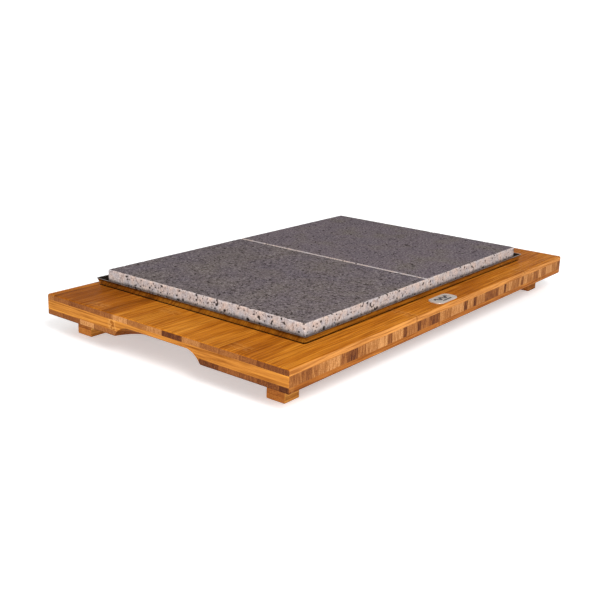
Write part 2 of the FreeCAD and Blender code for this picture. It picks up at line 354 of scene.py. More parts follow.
@dataclass(frozen=True)
class OiledBamboo:
    """Caramel bamboo strips, glued edge to edge and oiled.

    The grain runs along one axis, and the strips lie side by side along the other one.
    """

    name: str
    grain: Axis
    spread: Axis
    layup: tuple[Strip, ...]
    seed: float = 0.0
    knuckle_pitch: float = 235.0
    knuckle_wander: float = 2.0
    knuckle: float = 0.30
    scar_edges: tuple[float, float] = (2.2, 0.3)
    lip_edges: tuple[float, float] = (6.0, 3.0)
    lip_share: float = 0.3
    wall_contrast: float = 0.11
    face_tones: tuple[Colour, ...] = ((0.68, 0.260, 0.026), (0.56, 0.182, 0.012),
                                      (0.42, 0.122, 0.007), (0.27, 0.077, 0.005),
                                      (0.12, 0.036, 0.004))
    end_tones: tuple[Colour, ...] = ((0.58, 0.275, 0.098), (0.37, 0.150, 0.043),
                                     (0.27, 0.095, 0.027), (0.155, 0.050, 0.017),
                                     (0.08, 0.026, 0.013))
    # Painted light and shade on the faces that look across the strips: paler for a lit edge, darker
    # for a shaded one.
    painted_flank_lighting: Colour = (0.64, 0.285, 0.080)
    tone_places: tuple[float, ...] = (0.0, 0.30, 0.58, 0.82, 1.0)
    fibre_shade: Colour = (0.54, 0.44, 0.36)
    fibre_glow: Colour = (0.90, 0.40, 0.055)
    bundle_shade: Colour = (0.50, 0.38, 0.28)
    scar_shade: Colour = (0.40, 0.25, 0.18)
    lip_glow: Colour = (0.92, 0.50, 0.16)
    speck_shade: Colour = (0.42, 0.32, 0.25)
    seam_shade: Colour = (0.38, 0.26, 0.18)
    smudge_shade: Colour = (0.70, 0.62, 0.56)
    # Painted shade laid on faces that look downwards.
    painted_underside_shade: Colour = (0.34, 0.27, 0.22)
    cane_walls: tuple[float, float] = (0.09, 0.85)
    wobble: Fibre = (0.02, 0.02, 2.0, 0.5)
    drift: Fibre = (0.010, 0.09, 2.0, 0.5)
    fibres: Fibre = (0.020, 0.62, 5.0, 0.66)
    bundles: Fibre = (0.010, 1.7, 2.0, 0.45)
    flecks: Cloud = (1.1, 2.0, 0.55)
    smudges: Cloud = (0.016, 3.0, 0.5)
    glue_line: float = 0.55
    edge_wander: float = 0.35
    strip_turn: float = 0.377
    strip_shift: float = 70.0
    gloss: tuple[float, float] = (0.36, 0.52)

    def _drawn(self, graph: ShaderGraph, place: Socket, fibre: Fibre, shift: Feed) -> Socket:
        """Noise drawn out along the grain, and shifted so that no two strips match.

        Args:
            graph: the material.
            place: position in millimetres.
            fibre: the kind of noise.
            shift: the strip's own number.

        Returns:
            The noise.
        """
        along, across, detail, roughness = fibre
        factors = [across] * 3
        factors[self.grain.value] = along
        moved = graph.node("CombineXYZ", {0: shift, 1: shift, 2: shift}).outputs[0]
        return graph.noise(graph.stretch(place, factors, moved), 1.0, detail, roughness)

    def _tones(self, graph: ShaderGraph, tone: Socket, tones: Sequence[Colour]) -> Socket:
        """Colour for a tone from 0, pale, to 1, burnt."""
        return graph.ramp(tone, tuple(zip(self.tone_places, tones)))

    def _knuckles(self, graph: ShaderGraph, place: Socket, own: Socket,
                  colour: Socket) -> Socket:
        """Lay on the scars that cross a strip where the cane had its joints.

        Args:
            graph: the material.
            place: position in millimetres.
            own: the strip's own number.
            colour: colour of the strip.

        Returns:
            The colour with the scars and their pale lips.
        """
        along = graph.parts(place)[self.grain.value]
        wander = graph.noise(graph.stretch(place, (0.3, 0.3, 0.3)), detail=2.0)
        turn = graph.math("MULTIPLY_ADD", along, 1 / self.knuckle_pitch, own)
        away = graph.math("MULTIPLY_ADD", graph.math("PINGPONG", turn, 0.5),
                          self.knuckle_pitch, graph.remap(wander, 0.3, 0.7,
                                                          -self.knuckle_wander,
                                                          self.knuckle_wander))
        scar = graph.remap(away, *self.scar_edges)
        lip = graph.math("MULTIPLY", graph.remap(away, *self.lip_edges),
                         graph.math("SUBTRACT", 1.0, scar))
        colour = graph.lay(graph.math("MULTIPLY", scar, self.knuckle), colour,
                           self.scar_shade, Blend.DARKEN)
        return graph.lay(graph.math("MULTIPLY", lip, self.lip_share * self.knuckle), colour,
                         self.lip_glow)

    def _face(self, graph: ShaderGraph, tone: Socket, flank: Socket, fibre: Socket,
              bundle: Socket) -> Socket:
        """Colour of the strips along the grain, without the cane's joints.

        Args:
            graph: the material.
            tone: tone of the strip.
            flank: how far the surface faces sideways.
            fibre: the fine fibres.
            bundle: the dark bundles among them.

        Returns:
            The colour.
        """
        colour = self._tones(graph, tone, self.face_tones)
        # Painted light and shade: faces that look across the strips take the flank colour, standing
        # for how light falls on the edges.
        colour = graph.lay(graph.math("MULTIPLY", flank, 0.75), colour, self.painted_flank_lighting)
        colour = graph.lay(graph.remap(fibre, 0.44, 0.66, 0.0, 0.95), colour,
                           self.fibre_shade, Blend.DARKEN)
        colour = graph.lay(graph.math("MULTIPLY", bundle, 0.72), colour, self.bundle_shade,
                           Blend.DARKEN)
        return graph.lay(graph.remap(fibre, 0.44, 0.26, 0.0, 0.55), colour, self.fibre_glow)

    def _end(self, graph: ShaderGraph, place: Socket, tone: Socket) -> Socket:
        """Colour of the sawn ends, with the walls of the cane side by side.

        Args:
            graph: the material.
            place: position in millimetres.
            tone: tone of the strip's end.

        Returns:
            The colour.
        """
        grain = graph.noise(graph.stretch(place, (0.8, 0.8, 0.8)), detail=3.0, roughness=0.6)
        thick, thin = self.cane_walls
        factors = [thick] * 3
        factors[self.spread.value] = thin
        walls = graph.noise(graph.stretch(place, factors), detail=3.0, roughness=0.62)
        cut = graph.math("ADD", tone, graph.remap(grain, 0.30, 0.70, -0.10, 0.10))
        cut = graph.math("ADD", cut, graph.remap(walls, 0.30, 0.70, -self.wall_contrast,
                                                 self.wall_contrast))
        speck = graph.remap(graph.noise(place, *self.flecks), 0.50, 0.66, 0.0, 0.50)
        return graph.lay(speck, self._tones(graph, cut, self.end_tones), self.speck_shade,
                         Blend.DARKEN)

    def _seams(self, graph: ShaderGraph, edge: Socket) -> Socket:
        """How strongly the glue lines between the strips show.

        Args:
            graph: the material.
            edge: position across the strips.

        Returns:
            1 on a glue line and 0 away from it.
        """
        joints = [graph.math("ABSOLUTE", graph.math("SUBTRACT", edge, one.start))
                  for one in self.layup[1:]]
        nearest = joints[0]
        for joint in joints[1:]:
            nearest = graph.math("MINIMUM", nearest, joint)
        return graph.remap(nearest, self.glue_line, 0.10)

    def material(self) -> bpy.types.Material:
        """Build the material."""
        graph = ShaderGraph(self.name)
        place = graph.place()
        wobble = self._drawn(graph, place, self.wobble, self.seed)
        edge = graph.math("ADD", graph.parts(place)[self.spread.value],
                          graph.remap(wobble, 0.3, 0.7, -self.edge_wander, self.edge_wander))
        face_tone = graph.steps(edge, [(one.start, one.face) for one in self.layup])
        end_tone = graph.steps(edge, [(one.start, one.end) for one in self.layup])
        own = graph.steps(edge, [(one.start, (index * self.strip_turn + self.seed) % 1.0)
                                 for index, one in enumerate(self.layup)])
        shift = graph.math("MULTIPLY", own, self.strip_shift)

        facing = graph.parts(graph.normal())
        end = graph.remap(graph.math("ABSOLUTE", facing[self.grain.value]), 0.55, 0.85)
        flank = graph.remap(graph.math("ABSOLUTE", facing[self.spread.value]), 0.30, 0.75)
        drift = self._drawn(graph, place, self.drift, shift)
        tone = graph.math("ADD", face_tone, graph.remap(drift, 0.32, 0.68, -0.15, 0.15))
        fibre = self._drawn(graph, place, self.fibres, shift)
        bundle = graph.remap(self._drawn(graph, place, self.bundles, shift), 0.54, 0.70)
        seam = self._seams(graph, edge)

        colour = self._face(graph, tone, flank, fibre, bundle)
        colour = self._knuckles(graph, place, own, colour)
        colour = graph.lay(end, colour, self._end(graph, place, end_tone))
        colour = graph.lay(graph.math("MULTIPLY", seam, 0.45), colour, self.seam_shade,
                           Blend.DARKEN)
        smudge = graph.remap(graph.noise(place, *self.smudges), 0.42, 0.70, 0.0, 0.40)
        colour = graph.lay(smudge, colour, self.smudge_shade, Blend.DARKEN)
        # Painted shade: faces that look downwards are darkened, standing for the shade under the
        # board.
        colour = graph.lay(graph.remap(facing[2], -0.05, -0.40, 0.0, 0.9), colour,
                           self.painted_underside_shade, Blend.DARKEN)

        rough = graph.math("ADD", graph.remap(fibre, 0.3, 0.7, *self.gloss),
                           graph.math("MULTIPLY", end, 0.12))
        sunk = graph.math("ADD", graph.math("MULTIPLY", bundle, 0.5),
                          graph.math("MULTIPLY", seam, 0.8))
        relief = graph.math("SUBTRACT", graph.math("MULTIPLY", fibre, 0.6), sunk)
        return graph.close({"Base Color": colour, "Roughness": rough,
                            "Normal": graph.bump(relief, 0.12), "Coat Weight": 0.015,
                            "Coat Roughness": 0.22, "Specular IOR Level": 0.01})


@dataclass(frozen=True)
class PoredLava:
    """Sawn and honed lava stone: dark on the seasoned top, pale where it was cut."""

    name: str
    seed: float
    seasoned: Colour
    seasoned_cool: Colour = (0.132, 0.106, 0.128)
    seasoned_warm: Colour = (0.156, 0.127, 0.114)
    sawn: Colour = (0.475, 0.405, 0.385)
    sawn_cool: Colour = (0.43, 0.395, 0.41)
    sawn_warm: Colour = (0.56, 0.43, 0.37)
    mottle_shade: Colour = (0.66, 0.64, 0.66)
    grain_pale: Colour = (0.30, 0.255, 0.255)
    grit_pale: Colour = (0.33, 0.285, 0.28)
    grain_dark: Colour = (0.045, 0.036, 0.040)
    side_shade: Colour = (0.55, 0.48, 0.46)
    side_pale: Colour = (0.84, 0.74, 0.68)
    # Painted shade for the lower sides, where they meet the tray.
    painted_lower_shade: Colour = (0.24, 0.19, 0.17)
    # Painted shade: the colour laid into pores and pits, standing for the shade inside them.
    hollow: Colour = (0.030, 0.022, 0.020)
    lower_shade_top: float = 50.2
    lower_shade_onset: float = 4.0
    lower_shade_fade: tuple[float, float] = (5.0, 10.0)
    clouds: Cloud = (0.022, 3.0, 0.55)
    blotches: Cloud = (0.10, 4.0, 0.62)
    mottle: Cloud = (0.22, 4.0, 0.62)
    speckle: Cloud = (0.42, 3.0, 0.70)
    streaks: Cloud = (0.50, 3.0, 0.60)
    grit: Cloud = (0.95, 3.0, 0.60)
    crowding: Cloud = (0.030, 2.0, 0.5)
    fine_pores: PoreField = (1.9, 0.55, 0.40)
    coarse_pores: PoreField = (3.6, 0.50, 0.36)

    def _pores(self, graph: ShaderGraph, place: Socket, pores: PoreField) -> Socket:
        """Small round pores, one in some of the cells of a scattered pattern.

        Args:
            graph: the material.
            place: position in millimetres.
            pores: the kind of pores.

        Returns:
            1 in the middle of a pore and 0 outside it.
        """
        pitch, share, reach = pores
        cells = graph.cells(place, 1 / pitch)
        luck = graph.node("SeparateColor", {0: cells.outputs["Color"]}).outputs[0]
        size = graph.remap(luck, 1.0 - share, 1.0, 0.0, reach)
        inside = graph.math("SUBTRACT", size, cells.outputs["Distance"])
        return graph.remap(inside, 0.0, 0.10)

    def _top(self, graph: ShaderGraph, place: Socket, mottle: Socket, grit: Socket) -> Socket:
        """Colour of the dark top, grainy and seasoned by use.

        Args:
            graph: the material.
            place: position in millimetres.
            mottle: the medium unevenness.
            grit: the fine grain.

        Returns:
            The colour.
        """
        speckle = graph.noise(place, *self.speckle)
        top = graph.ramp(graph.noise(place, *self.clouds), (
            (0.34, self.seasoned_cool), (0.50, self.seasoned), (0.66, self.seasoned_warm)))
        top = graph.lay(graph.remap(mottle, 0.36, 0.66, 0.0, 0.45), top, self.mottle_shade,
                        Blend.DARKEN)
        for source, start, full, share, tone in ((speckle, 0.50, 0.66, 0.85, self.grain_pale),
                                                 (speckle, 0.49, 0.34, 0.92, self.grain_dark),
                                                 (grit, 0.52, 0.68, 0.55, self.grit_pale),
                                                 (grit, 0.47, 0.32, 0.70, self.grain_dark)):
            top = graph.lay(graph.remap(source, start, full, 0.0, share), top, tone)
        return top

    def _side(self, graph: ShaderGraph, place: Socket, grit: Socket) -> Socket:
        """Colour of the pale sawn sides.

        Args:
            graph: the material.
            place: position in millimetres.
            grit: the fine grain.

        Returns:
            The colour.
        """
        side = graph.ramp(graph.noise(place, *self.blotches),
                          ((0.36, self.sawn_cool), (0.50, self.sawn), (0.64, self.sawn_warm)))
        streak = graph.noise(graph.stretch(place, (1.0, 1.0, 0.45)), *self.streaks)
        side = graph.lay(graph.remap(streak, 0.50, 0.66, 0.0, 0.75), side, self.side_shade,
                         Blend.DARKEN)
        return graph.lay(graph.remap(grit, 0.50, 0.66, 0.0, 0.50), side, self.side_pale)

    def _lower_side_shade(self, graph: ShaderGraph, mottle: Socket) -> Socket:
        """How strongly painted shade darkens the lower sides, towards the tray.

        Args:
            graph: the material.
            mottle: the medium unevenness.

        Returns:
            The strength of the painted shade at each height.
        """
        wavy = graph.math("ADD", graph.parts(graph.place())[2],
                          graph.remap(mottle, 0.3, 0.7, -0.8, 0.8))
        down = graph.math("SUBTRACT", self.lower_shade_top, wavy)
        return graph.math("MULTIPLY", graph.remap(down, 0.0, self.lower_shade_onset, 0.0, 0.85),
                          graph.remap(down, *self.lower_shade_fade, 1.0, 0.35))

    def material(self) -> bpy.types.Material:
        """Build the material."""
        graph = ShaderGraph(self.name)
        place = graph.stretch(graph.place(), (1.0, 1.0, 1.0), (self.seed, -self.seed, self.seed))
        mottle = graph.noise(place, *self.mottle)
        grit = graph.noise(place, *self.grit)
        cut = graph.attribute("sawn")
        frayed = graph.math("ADD", cut, graph.remap(grit, 0.35, 0.65, -0.16, 0.16))
        bare = graph.math("MULTIPLY", graph.remap(frayed, 0.38, 0.62),
                          graph.remap(cut, 0.02, 0.2))
        colour = graph.lay(bare, self._top(graph, place, mottle, grit),
                           self._side(graph, place, grit))
        # Painted shade: the lower sides darken towards the tray, standing for the shade at the
        # stone's foot.
        colour = graph.lay(self._lower_side_shade(graph, mottle), colour, self.painted_lower_shade, Blend.DARKEN)

        fine = self._pores(graph, graph.stretch(place, (1.0, 1.0, 0.6)), self.fine_pores)
        coarse = self._pores(graph, graph.stretch(place, (0.9, 0.9, 0.5)), self.coarse_pores)
        crowd = graph.remap(graph.noise(place, *self.crowding), 0.36, 0.60, 0.35, 1.0)
        pore = graph.math("MULTIPLY", graph.math("MAXIMUM", fine, coarse), crowd)
        # Painted shade: pores and the pits cut into the mesh are darkened, standing for the shade
        # inside them.
        colour = graph.lay(graph.math("MULTIPLY", pore, 0.85), colour, self.hollow)
        colour = graph.lay(graph.remap(graph.attribute("pit"), 0.08, 0.55, 0.0, 0.95), colour,
                           self.hollow)

        relief = graph.math("SUBTRACT", graph.math("MULTIPLY", grit, 0.5), pore)
        rough = graph.remap(grit, 0.3, 0.7, 0.62, 0.86)
        return graph.close({"Base Color": colour, "Roughness": rough,
                            "Normal": graph.bump(relief, 0.45), "Specular IOR Level": 0.06})


@dataclass(frozen=True)
class PolishedSteel:
    """Bright stainless sheet, darkened on the inside with painted shade and reflection."""

    name: str
    rim_height: float
    tint: Colour = (0.59, 0.59, 0.575)
    smear: Colour = (0.45, 0.44, 0.425)
    # Painted shade and reflection: dark browns for the inside of the tray.
    inside_shade_dark: Colour = (0.085, 0.062, 0.048)
    inside_shade_warm: Colour = (0.22, 0.150, 0.095)
    # Painted shade along the top of the sheet, under the rim.
    painted_rim_shade: Colour = (0.26, 0.21, 0.18)
    brow_band: tuple[float, float] = (45.5, 47.3)
    rib_zone: tuple[tuple[float, float], ...] = ((185.0, 180.0), (123.0, 120.0))
    rib_foot: tuple[float, float] = (36.5, 36.7)
    rim_fade: float = 0.4
    polish: tuple[float, float] = (0.06, 0.18)
    inside_roughness: float = 0.22
    inside_shade_clouds: Cloud = (0.06, 4.0, 0.6)
    marks: Cloud = (0.035, 4.0, 0.6)
    swirl: float = 0.6

    def _inside(self, graph: ShaderGraph, place: Socket) -> Socket:
        """How far a point faces the hollow of the tray.

        Args:
            graph: the material.
            place: position in millimetres.

        Returns:
            1 on the inside and 0 on the outside and the rim.
        """
        normal = graph.normal()
        level = graph.node("VectorMath", {0: place, 1: (MM, MM, 0.0)},
                           operation="MULTIPLY").outputs[0]
        inward = graph.node("VectorMath", {0: normal, 1: level},
                            operation="DOT_PRODUCT").outputs["Value"]
        hollow = graph.math("MAXIMUM", graph.remap(inward, -0.02, -0.05),
                            graph.remap(graph.parts(normal)[2], 0.3, 0.6))
        x, y, height = graph.parts(place)
        on_floor = [graph.remap(graph.math("ABSOLUTE", part), *band)
                    for part, band in zip((x, y), self.rib_zone)]
        rib_end = graph.math("MULTIPLY", graph.math("MINIMUM", *on_floor),
                             graph.remap(height, *self.rib_foot))
        hollow = graph.math("MAXIMUM", hollow, rib_end)
        below_rim = graph.remap(height, self.rim_height, self.rim_height - self.rim_fade)
        return graph.math("MULTIPLY", hollow, below_rim)

    def material(self) -> bpy.types.Material:
        """Build the material."""
        graph = ShaderGraph(self.name)
        place = graph.place()
        marks = graph.noise(place, *self.marks, self.swirl)
        lines = graph.noise(graph.stretch(place, (0.05, 1.9, 1.9)), detail=3.0, roughness=0.6)
        rough = graph.math("ADD", graph.remap(marks, 0.40, 0.70, *self.polish),
                           graph.remap(lines, 0.35, 0.65, 0.0, 0.05))
        colour = graph.lay(graph.remap(marks, 0.45, 0.75, 0.0, 0.7), self.tint, self.smear)
        # Painted shade and reflection: the inside of the tray is laid over with dark browns,
        # standing for the dark it mirrors and the shade among the stones.
        inside_shade = graph.lay(graph.remap(graph.noise(place, *self.inside_shade_clouds), 0.42, 0.70),
                          self.inside_shade_dark, self.inside_shade_warm)
        inside = self._inside(graph, place)
        colour = graph.lay(inside, colour, inside_shade)
        # Painted shade: the sheet darkens towards its rim, standing for the shade where the stones
        # meet the tray.
        brow = graph.math("ADD", graph.parts(place)[2],
                          graph.remap(marks, 0.3, 0.7, -0.9, 0.9))
        colour = graph.lay(graph.remap(brow, *self.brow_band, 0.0, 0.9), colour,
                           self.painted_rim_shade, Blend.DARKEN)
        rough = graph.math("ADD", rough, graph.math("MULTIPLY", inside, self.inside_roughness))
        return graph.close({"Base Color": colour, "Metallic": 1.0, "Roughness": rough,
                            "Normal": graph.bump(lines, 0.004)})


@dataclass(frozen=True)
class SatinPlate:
    """Pale satin metal with a fine brushed line."""

    name: str
    tint: Colour = (0.80, 0.73, 0.66)
    shade: Colour = (0.56, 0.51, 0.47)
    worn: Colour = (0.62, 0.60, 0.57)
    roughness: tuple[float, float] = (0.26, 0.44)

    def material(self) -> bpy.types.Material:
        """Build the material."""
        graph = ShaderGraph(self.name)
        place = graph.place()
        brushed = graph.noise(graph.stretch(place, (0.25, 9.0, 9.0)), detail=3.0, roughness=0.6)
        wear = graph.noise(place, 0.22, 3.0)
        colour = graph.lay(graph.remap(brushed, 0.35, 0.65, 0.0, 0.55), self.tint, self.shade)
        colour = graph.lay(graph.remap(wear, 0.5, 0.7, 0.0, 0.25), colour, self.worn)
        rough = graph.remap(brushed, 0.3, 0.7, *self.roughness)
        return graph.close({"Base Color": colour, "Metallic": 0.75, "Roughness": rough,
                            "Normal": graph.bump(brushed, 0.01)})


@dataclass(frozen=True)
class Enamel:
    """Dark enamel that fills a sunk pattern."""

    name: str
    tint: Colour = (0.020, 0.024, 0.030)
    bloom: Colour = (0.048, 0.054, 0.062)

    def material(self) -> bpy.types.Material:
        """Build the material."""
        graph = ShaderGraph(self.name)
        cloud = graph.noise(graph.place(), 0.9, 3.0)
        colour = graph.lay(graph.remap(cloud, 0.35, 0.7), self.tint, self.bloom)
        rough = graph.remap(cloud, 0.3, 0.7, 0.22, 0.36)
        return graph.close({"Base Color": colour, "Roughness": rough,
                            "Normal": graph.bump(cloud, 0.01)})


@dataclass(frozen=True)
class ZincPlate:
    """Zinc-plated screw steel with a faint crystal pattern."""

    name: str
    tint: Colour = (0.62, 0.62, 0.60)
    dark: Colour = (0.38, 0.38, 0.36)

    def material(self) -> bpy.types.Material:
        """Build the material."""
        graph = ShaderGraph(self.name)
        spangle = graph.cells(graph.place(), 1.4).outputs["Distance"]
        colour = graph.lay(graph.remap(spangle, 0.1, 0.7), self.tint, self.dark)
        rough = graph.remap(spangle, 0.0, 0.8, 0.30, 0.48)
        return graph.close({"Base Color": colour, "Metallic": 1.0, "Roughness": rough,
                            "Normal": graph.bump(spangle, 0.02)})


@dataclass(frozen=True)
class PaleFloor:
    """Plain pale studio floor that glows a little away from the set."""

    name: str
    tint: Colour = (0.88, 0.88, 0.88)
    cool: Colour = (0.86, 0.86, 0.87)
    white: Colour = (1.0, 1.0, 1.0)
    glow: tuple[float, float] = (0.42, 0.85)
    glow_reach: tuple[float, float] = (260.0, 1000.0)

    def material(self) -> bpy.types.Material:
        """Build the material."""
        graph = ShaderGraph(self.name)
        place = graph.place()
        cloud = graph.noise(place, 0.004, 2.0)
        colour = graph.lay(graph.remap(cloud, 0.3, 0.7, 0.0, 0.3), self.tint, self.cool)
        away = graph.node("VectorMath", {0: place}, operation="LENGTH").outputs["Value"]
        glow = graph.remap(away, *self.glow_reach, *self.glow)
        return graph.close({"Base Color": colour, "Roughness": 0.9, "Specular IOR Level": 0.05,
                            "Emission Color": self.white, "Emission Strength": glow})


# --- Mesh tools -----------------------------------------------------------------------------


def new_piece(name: str, points: np.ndarray | Sequence[Sequence[float]],
              faces: Sequence[Sequence[int]], finish: bpy.types.Material,
              smooth: bool = True) -> bpy.types.Object:
    """Make a mesh piece in the set's frame.

    Args:
        name: name of the piece.
        points: its points, in metres.
        faces: its faces, as point numbers.
        finish: its material.
        smooth: whether its faces are shaded as one surface.

    Returns:
        The new object.
    """
    mesh = bpy.data.meshes.new(name)
    mesh.from_pydata([tuple(p) for p in points], [], [tuple(f) for f in faces])
    mesh.materials.append(finish)
    mesh.polygons.foreach_set("use_smooth", [smooth] * len(mesh.polygons))
    mesh.update()
    piece = bpy.data.objects.new(name, mesh)
    bpy.context.scene.collection.objects.link(piece)
    return piece


def dress(node: str, finish: bpy.types.Material) -> None:
    """Give a CAD node its finish.

    Args:
        node: name of the node.
        finish: its material.
    """
    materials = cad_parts[node].data.materials
    materials.clear()
    materials.append(finish)
    log.info("%s wears %s", node, finish.name)


def graded(low: float, high: float, cell: float, edge: Sequence[float]) -> np.ndarray:
    """Grid lines from low to high: close together at both ends, even in between.

    Args:
        low: first line.
        high: last line.
        cell: widest step.
        edge: distances of the close lines from each end.

    Returns:
        The lines, in order.
    """
    inner_low, inner_high = low + edge[-1], high - edge[-1]
    count = max(2, math.ceil((inner_high - inner_low) / cell) + 1)
    middle = np.linspace(inner_low, inner_high, count)[1:-1]
    ends = np.array(edge)
    return np.concatenate(([low], low + ends, middle, (high - ends)[::-1], [high]))


def box_grid(lines: Sequence[np.ndarray]) -> tuple[np.ndarray, list[tuple[int, ...]]]:
    """Closed surface of a box, divided along the lines given for X, Y and Z.

    Args:
        lines: grid lines along each axis.

    Returns:
        The points and the outward-facing quads.
    """
    counts = [len(one) for one in lines]
    grid = np.stack(np.meshgrid(*[np.arange(c) for c in counts], indexing="ij"), -1)
    last = np.array(counts) - 1
    shell = ((grid == 0) | (grid == last)).any(-1)
    number = np.full(counts, -1)
    number[shell] = np.arange(shell.sum())
    index = grid[shell]
    points = np.stack([lines[a][index[:, a]] for a in range(3)], -1)
    faces: list[tuple[int, ...]] = []
    for axis in range(3):
        first, second = (axis + 1) % 3, (axis + 2) % 3
        for side in (0, last[axis]):
            sheet = np.take(number, side, axis=axis)
            if first > second:
                sheet = sheet.T
            quads = np.stack([sheet[:-1, :-1], sheet[1:, :-1], sheet[1:, 1:], sheet[:-1, 1:]], -1)
            quads = quads.reshape(-1, 4)
            if side == 0:
                quads = quads[:, ::-1]
            faces.extend(map(tuple, quads.tolist()))
    return points, faces


def rounded_outline(half: tuple[float, float], radius: float, steps: int = 10) -> np.ndarray:
    """Outline of a rectangle with round corners, anticlockwise.

    Args:
        half: half its length and half its width.
        radius: radius of the corners.
        steps: number of steps in each corner.

    Returns:
        Its points in the plane.
    """
    corners = ((1, 1, 0.0), (-1, 1, 0.5), (-1, -1, 1.0), (1, -1, 1.5))
    points = []
    for sign_x, sign_y, start in corners:
        for step in range(steps + 1):
            turn = math.pi * (start + 0.5 * step / steps)
            points.append((sign_x * (half[0] - radius) + radius * math.cos(turn),
                           sign_y * (half[1] - radius) + radius * math.sin(turn)))
    return np.array(points)


def loft(rings: Sequence[np.ndarray]) -> tuple[np.ndarray, list[tuple[int, ...]]]:
    """Closed skin over a stack of rings with the same number of points.

    Args:
        rings: the rings from bottom to top, each anticlockwise.

    Returns:
        The points and the faces, with a flat lid at each end.
    """
    size = len(rings[0])
    faces: list[tuple[int, ...]] = [tuple(range(size))[::-1]]
    for level in range(len(rings) - 1):
        base = level * size
        for step in range(size):
            after = (step + 1) % size
            faces.append((base + step, base + after, base + size + after, base + size + step))
    top = (len(rings) - 1) * size
    faces.append(tuple(range(top, top + size)))
    return np.concatenate(rings), faces


def raised(outline: np.ndarray, height: float, centre: Vector) -> np.ndarray:
    """Lift a plane outline to a height above a centre."""
    lifted = np.column_stack([outline, np.full(len(outline), height)])
    return lifted + np.array(centre)


# --- Board and feet -------------------------------------------------------------------------


@dataclass
class BambooBoard:
    """The three-ply board: grain lengthwise, crosswise, lengthwise."""

    top: str = "board_top_ply"
    core: str = "board_core_ply"
    bottom: str = "board_bottom_ply"
    top_layup: tuple[Strip, ...] = (
        Strip(-152.5, 0.34, 0.78), Strip(-119.0, 0.42, 0.66), Strip(-100.0, 0.44, 0.52),
        Strip(-77.0, 0.26, 0.50), Strip(-54.5, 0.34, 0.28), Strip(-32.5, 0.22, 0.96),
        Strip(-9.0, 0.30, 0.26), Strip(12.0, 0.20, 0.42), Strip(36.0, 0.30, 0.12),
        Strip(57.0, 0.70, 0.58), Strip(76.0, 0.56, 0.64), Strip(98.0, 0.62, 0.68),
        Strip(119.0, 0.66, 0.55), Strip(142.0, 0.42, 0.36))
    bottom_layup: tuple[Strip, ...] = (
        Strip(-152.5, 0.40, 0.98), Strip(-143.0, 0.30, 0.80), Strip(-120.0, 0.45, 0.74),
        Strip(-100.0, 0.35, 0.66), Strip(-76.0, 0.30, 0.86), Strip(-54.5, 0.40, 0.45),
        Strip(-33.0, 0.25, 0.35), Strip(-11.0, 0.50, 0.40), Strip(12.0, 0.30, 0.60),
        Strip(35.0, 0.42, 0.45), Strip(58.0, 0.36, 0.50), Strip(82.5, 0.24, 0.10),
        Strip(103.5, 0.46, 0.66), Strip(128.0, 0.40, 0.56))
    core_layup: tuple[tuple[float, float], ...] = (
        (17, 0.46), (12, 0.64), (10, 0.42), (15.5, 0.22), (15.5, 0.16), (10, 0.58),
        (14.5, 0.86), (12, 0.46), (19, 0.26), (17, 0.14), (7, 0.60), (19, 0.22), (6.5, 0.92),
        (18.5, 0.44), (7, 0.88), (9, 0.56), (7, 0.42), (20, 0.76), (7, 0.16), (16, 0.38),
        (26, 0.12), (7.5, 0.74), (6, 0.18), (7, 0.26), (6, 0.86), (19, 0.30), (22, 0.66),
        (11, 0.58), (12.5, 0.20), (5.5, 0.94), (6, 0.28), (9, 0.10), (8.5, 0.34), (10, 0.46),
        (6, 0.14), (5, 0.66), (10.5, 0.12), (16.5, 0.32), (13, 0.62), (9, 0.08), (11.5, 0.50),
        (18.5, 0.16), (15, 0.34), (12, 0.64))

    def _core_strips(self) -> tuple[Strip, ...]:
        """The crosswise strips, from the left end to the right end."""
        strips, start = [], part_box(self.core)[0].x / MM
        for order, (width, end) in enumerate(self.core_layup):
            strips.append(Strip(start, 0.10 + 0.22 * ((order * 0.618) % 1.0), end))
            start += width
        return tuple(strips)

    def build(self) -> None:
        """Dress the three layers."""
        # The layers' flank colours are painted light and shade: the top layer's long edges paler,
        # the bottom layer's darker.
        dress(self.top, OiledBamboo("bamboo_top", Axis.X, Axis.Y, self.top_layup,
                                    seed=0.31).material())
        dress(self.core, OiledBamboo("bamboo_core", Axis.Y, Axis.X, self._core_strips(),
                                     seed=0.74, knuckle_pitch=220.0, knuckle=0.6,
                                     wall_contrast=0.26, painted_flank_lighting=(0.50, 0.205, 0.042)).material())
        dress(self.bottom, OiledBamboo("bamboo_bottom", Axis.X, Axis.Y, self.bottom_layup,
                                       seed=0.12, painted_flank_lighting=(0.36, 0.130, 0.032)).material())


